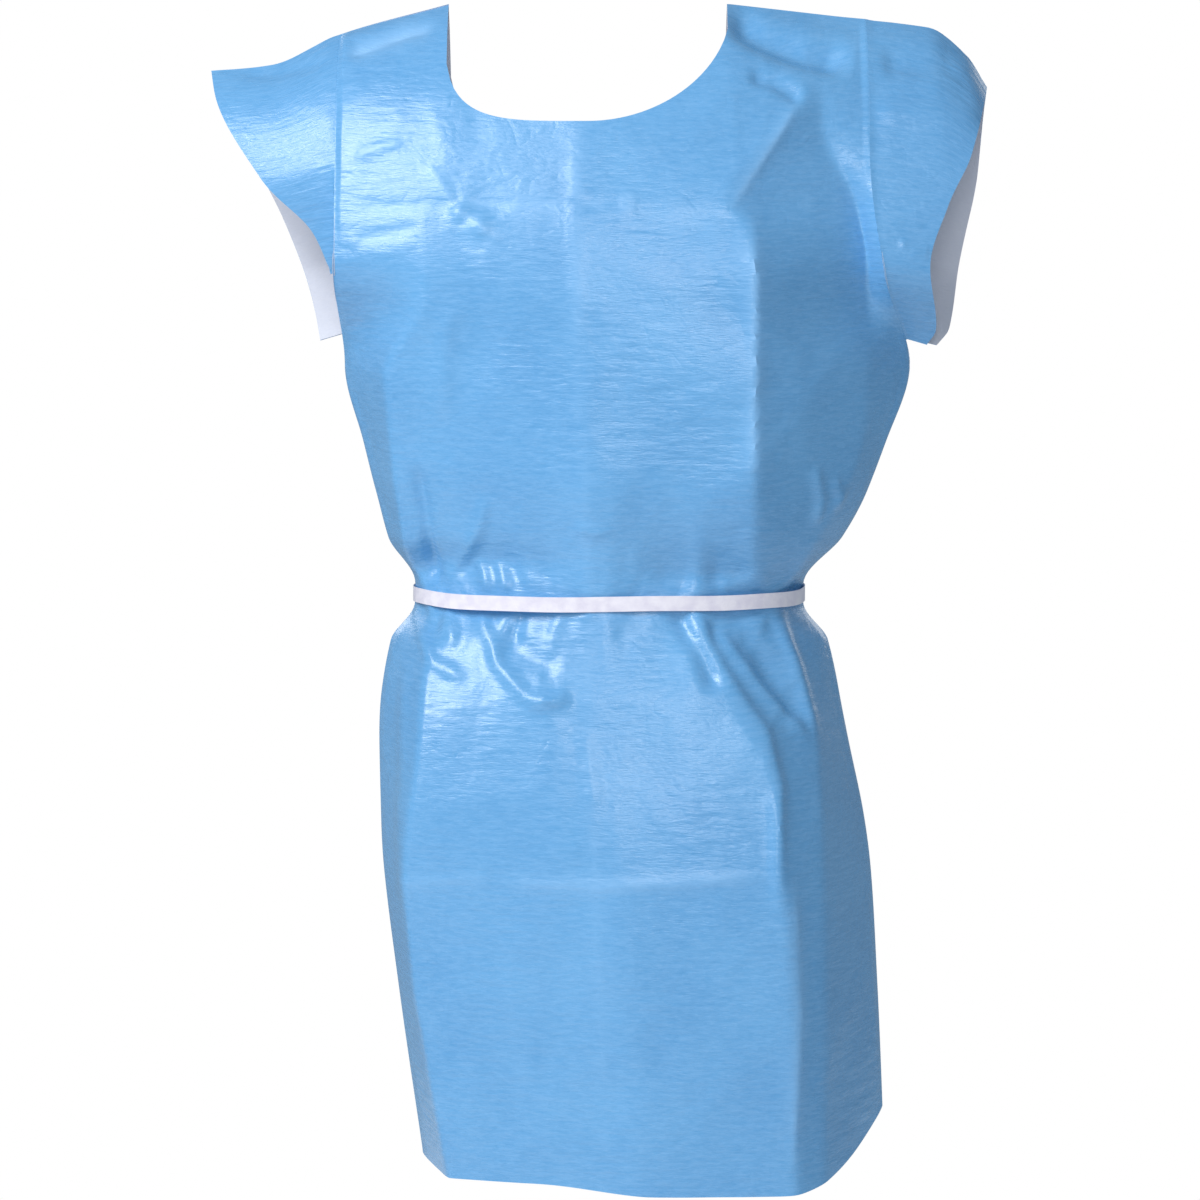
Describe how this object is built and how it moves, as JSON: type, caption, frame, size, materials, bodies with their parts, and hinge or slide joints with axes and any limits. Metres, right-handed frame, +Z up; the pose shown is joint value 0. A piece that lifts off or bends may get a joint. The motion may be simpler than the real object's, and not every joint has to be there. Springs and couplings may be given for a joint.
{
  "type": "patient gown",
  "caption": "Disposable patient gown of blue film on white tissue, worn shape, with a scooped neck, cap sleeves, back opening and a tied waist.",
  "frame": {"origin": "midway between the tops of the wearer's shoulders, which carry the gown", "axes": "+Z up, +X to the wearer's left, the front faces -Y"},
  "size_m": [0.679, 0.2942, 1.0239],
  "materials": {
    "blue_film": "glossy thin polyethylene film with a fine crepe texture, fold creases and gathers",
    "white_tissue": "matt white crepe tissue",
    "white_tie": "soft white plastic strip with a satin sheen"
  },
  "bodies": {
    "gown_body": {"front_film": "blue_film", "front_lining": "white_tissue", "back_left_film": "blue_film", "back_left_lining": "white_tissue", "back_right_film": "blue_film", "back_right_lining": "white_tissue", "waist_tie": "white_tie", "tie_knot": "white_tie"},
    "skirt_corner_left": {"skirt_corner_left_film": "blue_film", "skirt_corner_left_lining": "white_tissue"},
    "sleeve_left": {"sleeve_left_film": "blue_film", "sleeve_left_lining": "white_tissue"},
    "tie_loop_left": {"tie_loop_left": "white_tie"},
    "tie_end_left": {"tie_end_left": "white_tie"},
    "skirt_corner_right": {"skirt_corner_right_film": "blue_film", "skirt_corner_right_lining": "white_tissue"},
    "sleeve_right": {"sleeve_right_film": "blue_film", "sleeve_right_lining": "white_tissue"},
    "tie_loop_right": {"tie_loop_right": "white_tie"},
    "tie_end_right": {"tie_end_right": "white_tie"}
  },
  "joints": [
    {"name": "skirt_corner_left_swing", "type": "hinge", "parent": "gown_body", "child": "skirt_corner_left", "pos_m": [0.029, 0.147, -0.655], "axis": [0.441, -0.0436, -0.8964], "range_deg": [0, 50]},
    {"name": "skirt_corner_right_swing", "type": "hinge", "parent": "gown_body", "child": "skirt_corner_right", "pos_m": [-0.0057, 0.147, -0.655], "axis": [0.29, 0.0414, 0.9561], "range_deg": [0, 50]},
    {"name": "sleeve_left_lift", "type": "hinge", "parent": "gown_body", "child": "sleeve_left", "pos_m": [0.233, 0.012, -0.012], "axis": [0, -1, 0], "range_deg": [0, 35]},
    {"name": "sleeve_right_lift", "type": "hinge", "parent": "gown_body", "child": "sleeve_right", "pos_m": [-0.231, 0.012, -0.026], "axis": [0, 1, 0], "range_deg": [0, 35]},
    {"name": "tie_loop_left_lift", "type": "hinge", "parent": "gown_body", "child": "tie_loop_left", "pos_m": [0.019, 0.1065, -0.515], "axis": [0, -1, 0], "range_deg": [0, 25]},
    {"name": "tie_loop_right_lift", "type": "hinge", "parent": "gown_body", "child": "tie_loop_right", "pos_m": [-0.007, 0.1065, -0.515], "axis": [0, 1, 0], "range_deg": [0, 25]},
    {"name": "tie_end_left_swing", "type": "hinge", "parent": "gown_body", "child": "tie_end_left", "pos_m": [0.018, 0.098, -0.524], "axis": [0, 1, 0], "range_deg": [-12, 12]},
    {"name": "tie_end_right_swing", "type": "hinge", "parent": "gown_body", "child": "tie_end_right", "pos_m": [-0.006, 0.098, -0.524], "axis": [0, 1, 0], "range_deg": [-12, 12]}
  ]
}
